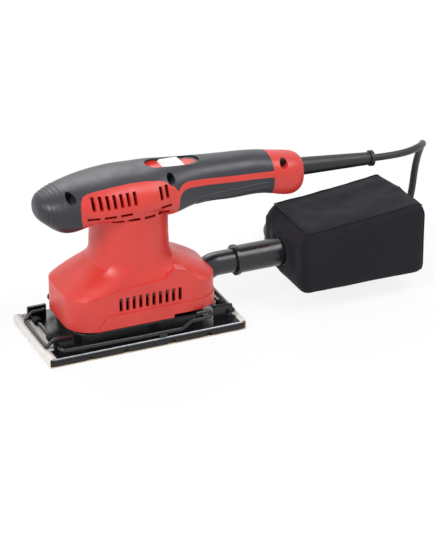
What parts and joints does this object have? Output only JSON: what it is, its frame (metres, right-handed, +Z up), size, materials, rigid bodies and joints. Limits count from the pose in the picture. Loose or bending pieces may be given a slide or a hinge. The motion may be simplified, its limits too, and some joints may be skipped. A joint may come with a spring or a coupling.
{
  "type": "orbital sander",
  "caption": "Corded orbital finishing sander: red clamshell body, dark soft grip, wire lever paper clamps at both ends of the pad and a black cloth dust bag on a rear spout.",
  "frame": {"origin": "centre of the sanding face, on the abrasive sheet's underside", "axes": "+X towards the cord end, -Y the tool's left side, +Z up"},
  "size_m": [0.4228, 0.2021, 0.1552],
  "materials": {
    "red_shell": "fine moulded texture",
    "soft_grip": "over-moulded, matte",
    "white_knob": "moulded",
    "black_cast_base": "die-cast, black paint",
    "pad_rubber": "closed-cell foam",
    "abrasive_paper": "paper back, grit below",
    "black_wire": "bent steel wire, black coat",
    "black_ears": "pressed steel, black coat",
    "bag_cloth": "woven",
    "black_plastic": "moulded",
    "cord_rubber": "extruded, matte",
    "plug_rubber": "moulded",
    "pin_brass": "nickel plate",
    "steel": "turned",
    "lamination_steel": "stacked sheets",
    "winding_copper": "enamelled wire",
    "carbon": "pressed",
    "baffle_aluminium": "die-cast",
    "foot_rubber": "moulded",
    "capacitor_film": "wound film"
  },
  "bodies": {
    "housing": {"housing_left": "red_shell", "housing_right": "red_shell", "grip_left": "soft_grip", "grip_right": "soft_grip", "lower_grip_left": "soft_grip", "lower_grip_right": "soft_grip", "housing_screws": "steel", "switch_body": "black_plastic", "capacitor": "capacitor_film", "lead_wires": "cord_rubber", "cord_clamp": "black_plastic", "cord_clamp_screws": "steel", "cord_guard": "cord_rubber", "cord_inner_end": "cord_rubber", "cord_lead": "cord_rubber", "cord_coil": "cord_rubber", "plug_body": "plug_rubber", "plug_pins": "pin_brass", "field_stator": "lamination_steel", "field_coils": "winding_copper", "brush_holders": "black_plastic", "carbon_brushes": "carbon", "upper_bearing_outer_ring": "steel", "lower_bearing_outer_ring": "steel", "baffle_plate": "baffle_aluminium", "baffle_screws": "steel", "flexible_feet": "foot_rubber", "dust_spout": "black_plastic"},
    "rotor": {"armature_shaft": "steel", "base_bolt": "steel", "counterweight": "lamination_steel", "dust_fan": "black_plastic", "cooling_fan": "black_plastic", "armature_core": "lamination_steel", "armature_windings": "winding_copper", "commutator": "winding_copper", "upper_bearing_inner_ring": "steel", "lower_bearing_inner_ring": "steel", "base_bearing_inner_ring": "steel"},
    "base": {"base_plate": "black_cast_base", "foam_pad": "pad_rubber", "abrasive_sheet": "abrasive_paper", "base_screws": "steel", "bearing_cover": "steel", "base_bearing_outer_ring": "steel", "front_clamp_ears": "black_ears", "rear_clamp_ears": "black_ears", "front_bail_springs": "steel", "rear_bail_springs": "steel", "lever_rests": "black_cast_base"},
    "front_lever": {"front_clamp_lever": "black_wire"},
    "front_bail": {"front_paper_bail": "black_wire"},
    "rear_lever": {"rear_clamp_lever": "black_wire"},
    "rear_bail": {"rear_paper_bail": "black_wire"},
    "switch": {"switch_knob": "white_knob"},
    "bag": {"bag_nozzle": "black_plastic", "bag_clamp_ring": "black_plastic", "dust_bag": "bag_cloth"}
  },
  "joints": [
    {"name": "rotor_spin", "type": "hinge", "parent": "housing", "child": "rotor", "pos_m": [-0.001, 0, 0], "axis": [0, 0, 1], "continuous": true, "deforming": ["flexible_feet"]},
    {"name": "base_orbit", "type": "hinge", "parent": "rotor", "child": "base", "pos_m": [0, 0, 0], "axis": [0, 0, 1], "continuous": true, "deforming": ["flexible_feet"]},
    {"name": "knob_slide", "type": "slide", "parent": "housing", "child": "switch", "axis": [-1, 0, 0], "range_m": [0, 0.007]},
    {"name": "front_lever_swing", "type": "hinge", "parent": "base", "child": "front_lever", "pos_m": [-0.0805, 0, 0.0142], "axis": [0, -1, 0], "range_deg": [0, 50]},
    {"name": "front_bail_lift", "type": "hinge", "parent": "base", "child": "front_bail", "pos_m": [-0.07, 0, 0.0182], "axis": [0, 1, 0], "range_deg": [0, 22.5]},
    {"name": "rear_lever_swing", "type": "hinge", "parent": "base", "child": "rear_lever", "pos_m": [0.0805, 0, 0.0142], "axis": [0, 1, 0], "range_deg": [0, 50]},
    {"name": "rear_bail_lift", "type": "hinge", "parent": "base", "child": "rear_bail", "pos_m": [0.07, 0, 0.0182], "axis": [0, -1, 0], "range_deg": [0, 22.5]},
    {"name": "bag_pull", "type": "slide", "parent": "housing", "child": "bag", "axis": [1, 0, 0], "range_m": [0, 0.035]}
  ],
  "couplings": [
    {"joint": "base_orbit", "follows": "rotor_spin", "ratio": -1},
    {"joint": "front_bail_lift", "follows": "front_lever_swing", "ratio": 0.45},
    {"joint": "rear_bail_lift", "follows": "rear_lever_swing", "ratio": 0.45}
  ]
}
